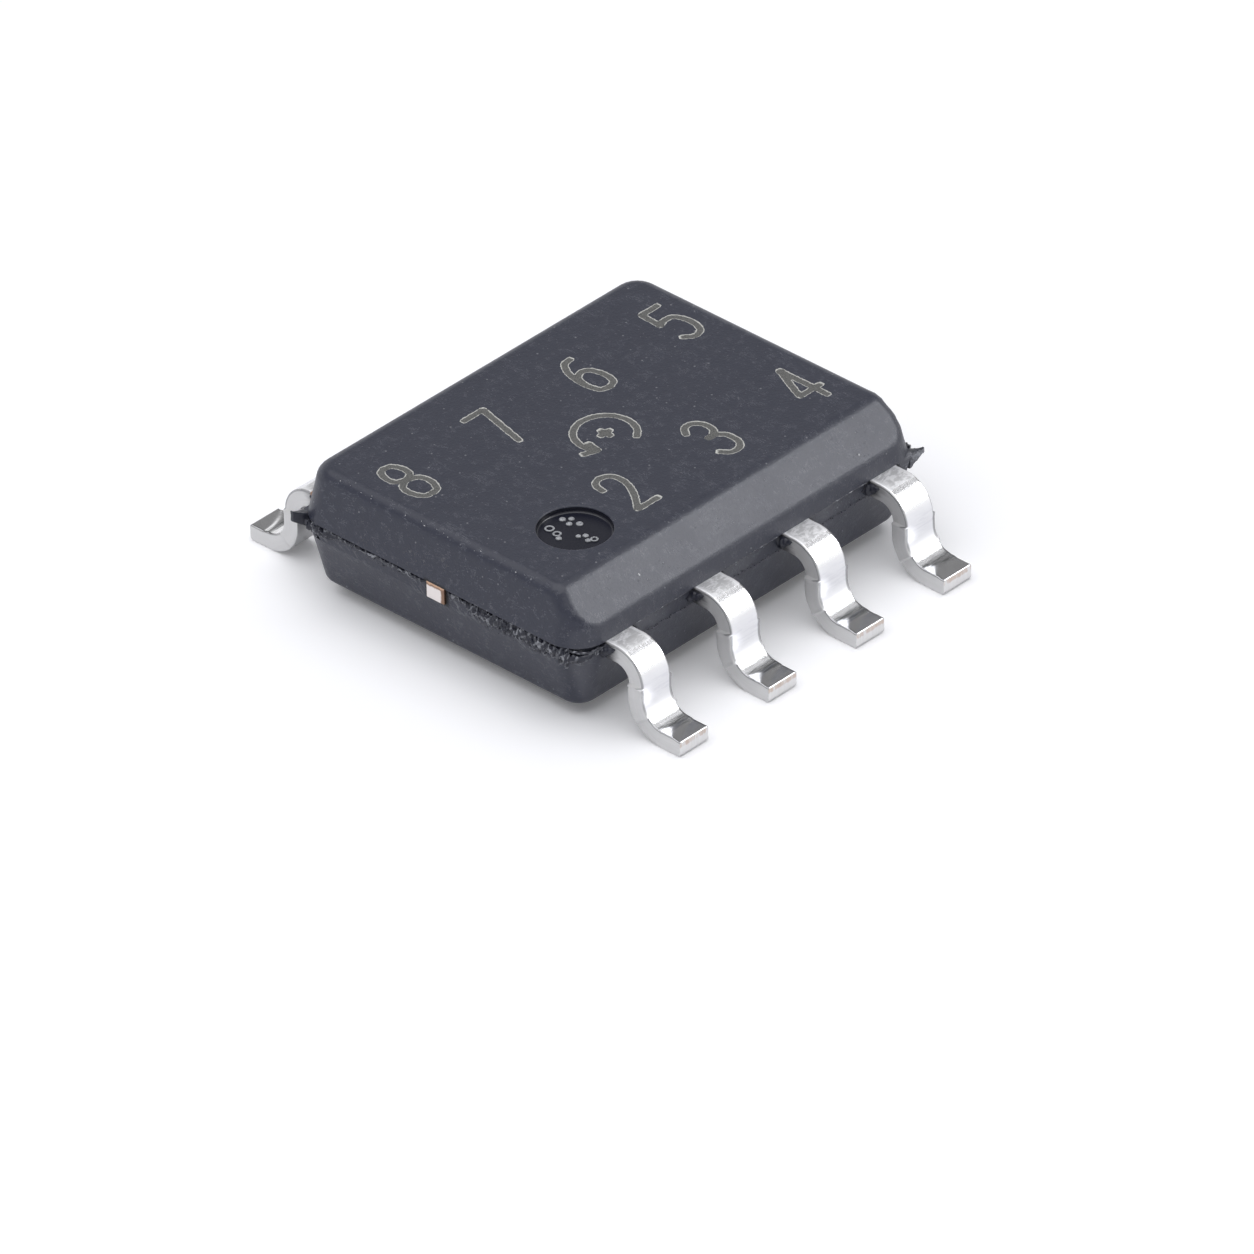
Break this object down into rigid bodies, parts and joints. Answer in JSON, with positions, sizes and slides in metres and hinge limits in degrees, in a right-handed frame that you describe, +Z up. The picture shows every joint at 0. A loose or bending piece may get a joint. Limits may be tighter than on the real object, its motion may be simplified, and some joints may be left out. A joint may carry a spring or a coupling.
{
  "type": "magnetic angle sensor chip",
  "caption": "Small-outline surface-mount sensor package with gull-wing leads; measures the angle of a magnet turning above its flat moulded face.",
  "frame": {"origin": "centre of the package on the plane of the lead feet, which is the board's surface", "axes": "+X along the package's length towards leads 4 and 5, +Y towards the row of leads 5 to 8, +Z up, away from the board"},
  "size_m": [0.005, 0.0058, 0.0015],
  "materials": {
    "mold_compound": "satin",
    "tinned_lead": "satin tin plating",
    "copper_alloy": "satin",
    "die_adhesive": "satin",
    "silicon": "polished",
    "gold_wire": "polished"
  },
  "bodies": {
    "root": {"mold_body": "mold_compound", "lead_1": "tinned_lead", "lead_2": "tinned_lead", "lead_3": "tinned_lead", "lead_4": "tinned_lead", "lead_5": "tinned_lead", "lead_6": "tinned_lead", "lead_7": "tinned_lead", "lead_8": "tinned_lead", "die_paddle": "copper_alloy", "die_attach": "die_adhesive", "sensor_die": "silicon", "bond_wire_1": "gold_wire", "bond_wire_2": "gold_wire", "bond_wire_3": "gold_wire", "bond_wire_4": "gold_wire", "bond_wire_5": "gold_wire", "bond_wire_6": "gold_wire", "bond_wire_7": "gold_wire", "bond_wire_8": "gold_wire"}
  },
  "joints": []
}
